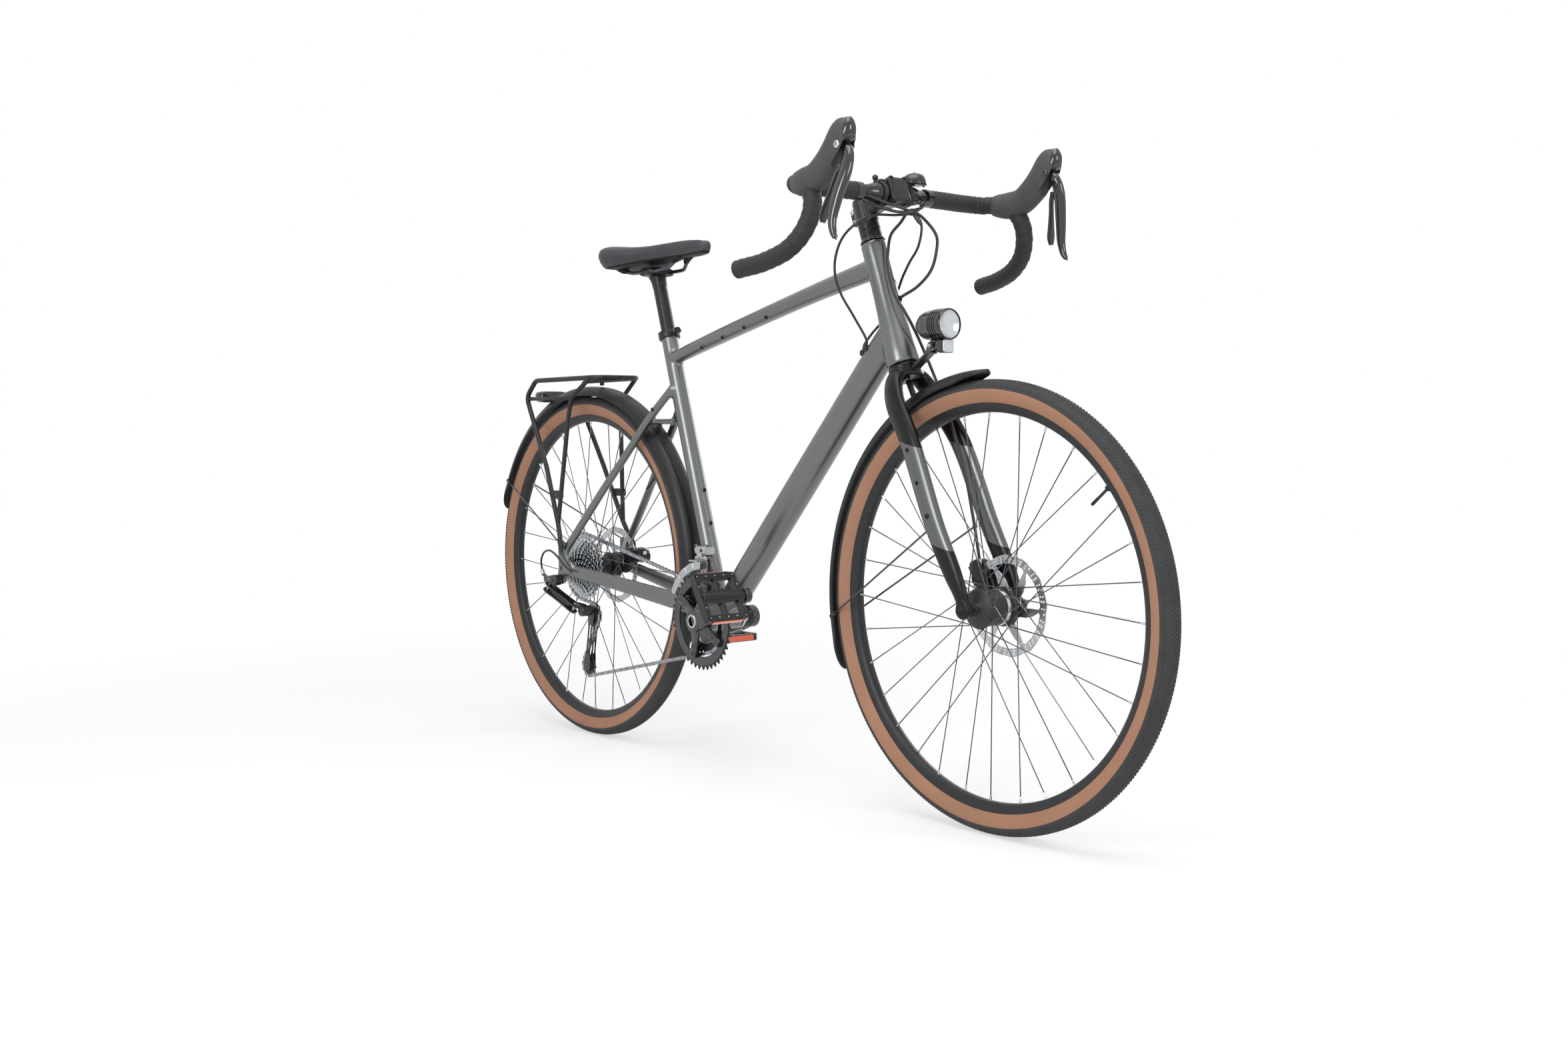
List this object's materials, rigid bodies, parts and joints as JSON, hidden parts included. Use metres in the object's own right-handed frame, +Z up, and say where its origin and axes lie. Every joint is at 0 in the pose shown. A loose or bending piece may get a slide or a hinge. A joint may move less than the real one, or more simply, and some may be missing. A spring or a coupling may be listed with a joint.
{
  "type": "gravel bike",
  "caption": "Drop-bar gravel and touring bicycle with full mudguards, rear rack, hub dynamo headlight and disc brakes.",
  "frame": {"origin": "on the ground under the middle of the bounding box", "axes": "+X forward along the bicycle, +Y to the rider's left, +Z up"},
  "size_m": [1.84, 0.564, 1.0804],
  "materials": {
    "frame_paint": "matte metallic dark green-grey",
    "black_metal": "satin black",
    "silver_metal": "satin silver",
    "steel": "brushed steel",
    "dark_steel": "dark grey",
    "tread_rubber": "matte black tread, tan sidewall",
    "soft_rubber": "matte black",
    "bar_wrap": "matte black wrap",
    "black_plastic": "matte black",
    "gloss_black": "gloss black",
    "clear_lens": "clear"
  },
  "bodies": {
    "chassis": {"frame": "frame_paint", "seat_collar": "black_metal", "bearing_cup_left": "silver_metal", "bearing_cup_right": "silver_metal", "rear_axle": "dark_steel", "rear_calliper": "black_metal", "rear_mudguard": "black_plastic", "rack": "dark_steel", "tail_light": "gloss_black", "front_derailleur": "silver_metal", "control_cables": "soft_rubber", "chain": "steel", "gear_cable": "soft_rubber"},
    "saddle": {"seatpost": "black_metal", "saddle_base": "black_metal", "saddle_cushion": "soft_rubber"},
    "steerer": {"fork": "frame_paint", "spacers": "black_metal", "stem": "black_metal", "faceplate": "black_metal", "steerer_cap": "black_metal", "handlebar": "black_metal", "bar_tape_right": "bar_wrap", "bar_tape_left": "bar_wrap", "hood_right": "soft_rubber", "hood_left": "soft_rubber", "bell": "black_metal", "accessory_clamp": "black_plastic", "front_brake_hose": "soft_rubber", "front_axle": "dark_steel", "front_calliper": "black_metal", "front_mudguard": "black_plastic", "lamp_bracket": "dark_steel"},
    "headlight": {"lamp": "gloss_black", "lamp_lens": "clear_lens"},
    "lever_right": {"brake_lever_right": "gloss_black"},
    "lever_left": {"brake_lever_left": "gloss_black"},
    "paddle_right": {"shift_paddle_right": "black_plastic"},
    "paddle_left": {"shift_paddle_left": "black_plastic"},
    "front_wheel": {"front_tyre": "tread_rubber", "front_rim": "black_metal", "front_hub": "dark_steel", "front_disc": "steel"},
    "rear_wheel": {"rear_tyre": "tread_rubber", "rear_rim": "black_metal", "rear_hub": "dark_steel", "rear_disc": "steel"},
    "gear_block": {"cassette": "steel"},
    "crankset": {"crank_right": "black_metal", "crank_left": "black_metal", "chainrings": "dark_steel"},
    "right_pedal": {"pedal_right": "black_plastic"},
    "left_pedal": {"pedal_left": "black_plastic"},
    "front_shifter": {"front_derailleur_cage": "steel"},
    "rear_shifter_mount": {"rear_derailleur_mount": "black_metal"},
    "rear_shifter_link": {"rear_derailleur_link": "black_metal"},
    "rear_shifter_knuckle": {"rear_derailleur_knuckle": "black_metal"},
    "rear_shifter_cage": {"rear_derailleur_cage": "black_metal"},
    "upper_pulley": {"guide_pulley": "black_plastic"},
    "lower_pulley": {"tension_pulley": "black_plastic"}
  },
  "joints": [
    {"name": "steering", "type": "hinge", "parent": "chassis", "child": "steerer", "pos_m": [0.37829, 0, 0.7279], "axis": [-0.3355, 0, 0.9421], "range_deg": [-50, 50], "deforming": ["control_cables"]},
    {"name": "front_wheel_spin", "type": "hinge", "parent": "steerer", "child": "front_wheel", "pos_m": [0.56999, 0, 0.35], "axis": [0, 1, 0], "continuous": true},
    {"name": "rear_wheel_spin", "type": "hinge", "parent": "chassis", "child": "rear_wheel", "pos_m": [-0.56501, 0, 0.35], "axis": [0, 1, 0], "continuous": true},
    {"name": "crank_spin", "type": "hinge", "parent": "chassis", "child": "crankset", "pos_m": [-0.11844, 0, 0.277], "axis": [0, 1, 0], "continuous": true, "deforming": ["chain"]},
    {"name": "cassette_spin", "type": "hinge", "parent": "chassis", "child": "gear_block", "pos_m": [-0.56501, 0, 0.35], "axis": [0, 1, 0], "continuous": true},
    {"name": "pedal_right_spin", "type": "hinge", "parent": "crankset", "child": "right_pedal", "pos_m": [0.04601, 0, 0.33685], "axis": [0, 1, 0], "continuous": true},
    {"name": "pedal_left_spin", "type": "hinge", "parent": "crankset", "child": "left_pedal", "pos_m": [-0.28288, 0, 0.21715], "axis": [0, 1, 0], "continuous": true},
    {"name": "brake_lever_right_pull", "type": "hinge", "parent": "steerer", "child": "lever_right", "pos_m": [0.49149, 0, 1.041], "axis": [0, 1, 0], "range_deg": [0, 15], "stiffness_Nm_per_rad": 1.5, "springref_deg": -5.73},
    {"name": "brake_lever_left_pull", "type": "hinge", "parent": "steerer", "child": "lever_left", "pos_m": [0.49149, 0, 1.041], "axis": [0, 1, 0], "range_deg": [0, 15], "stiffness_Nm_per_rad": 1.5, "springref_deg": -5.73},
    {"name": "shift_paddle_right_push", "type": "hinge", "parent": "lever_right", "child": "paddle_right", "pos_m": [0.49039, -0.231, 1.008], "axis": [1, 0, 0], "range_deg": [0, 12], "stiffness_Nm_per_rad": 0.3, "springref_deg": -2.86},
    {"name": "shift_paddle_left_push", "type": "hinge", "parent": "lever_left", "child": "paddle_left", "pos_m": [0.49039, 0.231, 1.008], "axis": [-1, 0, 0], "range_deg": [0, 12], "stiffness_Nm_per_rad": 0.3, "springref_deg": -2.86},
    {"name": "front_derailleur_swing", "type": "hinge", "parent": "chassis", "child": "front_shifter", "pos_m": [-0.14451, -0.03, 0.39], "axis": [1, 0, 0], "range_deg": [-7, 0], "stiffness_Nm_per_rad": 1.5, "springref_deg": 1.72},
    {"name": "rear_derailleur_hanger", "type": "hinge", "parent": "chassis", "child": "rear_shifter_mount", "pos_m": [-0.56951, -0.088, 0.326], "axis": [0, 1, 0], "range_deg": [-6, 6], "stiffness_Nm_per_rad": 8, "deforming": ["gear_cable"]},
    {"name": "rear_derailleur_swing", "type": "hinge", "parent": "rear_shifter_mount", "child": "rear_shifter_link", "pos_m": [-0.60051, -0.089, 0.309], "axis": [0.6, 0, 0.8], "range_deg": [-20, 0], "stiffness_Nm_per_rad": 4, "springref_deg": 2.86},
    {"name": "rear_derailleur_follow", "type": "hinge", "parent": "rear_shifter_link", "child": "rear_shifter_knuckle", "pos_m": [-0.54651, -0.062, 0.269], "axis": [0.6, 0, 0.8], "range_deg": [0, 20]},
    {"name": "rear_derailleur_tension", "type": "hinge", "parent": "rear_shifter_knuckle", "child": "rear_shifter_cage", "pos_m": [-0.52551, -0.04, 0.263], "axis": [0, 1, 0], "range_deg": [-8, 25], "stiffness_Nm_per_rad": 2, "springref_deg": -5.73},
    {"name": "guide_pulley_spin", "type": "hinge", "parent": "rear_shifter_cage", "child": "upper_pulley", "pos_m": [-0.52951, -0.0246, 0.253], "axis": [0, 1, 0], "continuous": true},
    {"name": "tension_pulley_spin", "type": "hinge", "parent": "rear_shifter_cage", "child": "lower_pulley", "pos_m": [-0.54951, -0.0246, 0.147], "axis": [0, 1, 0], "continuous": true},
    {"name": "headlight_tilt", "type": "hinge", "parent": "steerer", "child": "headlight", "pos_m": [0.44549, 0, 0.757], "axis": [0, 1, 0], "range_deg": [-15, 10]},
    {"name": "seatpost_height", "type": "slide", "parent": "chassis", "child": "saddle", "axis": [-0.2924, 0, 0.9563], "range_m": [-0.08, 0.04]}
  ],
  "couplings": [
    {"joint": "cassette_spin", "follows": "crank_spin", "ratio": 0.88235},
    {"joint": "guide_pulley_spin", "follows": "crank_spin", "ratio": -2.7273},
    {"joint": "tension_pulley_spin", "follows": "crank_spin", "ratio": 2.7273},
    {"joint": "rear_derailleur_follow", "follows": "rear_derailleur_swing", "ratio": -1}
  ]
}
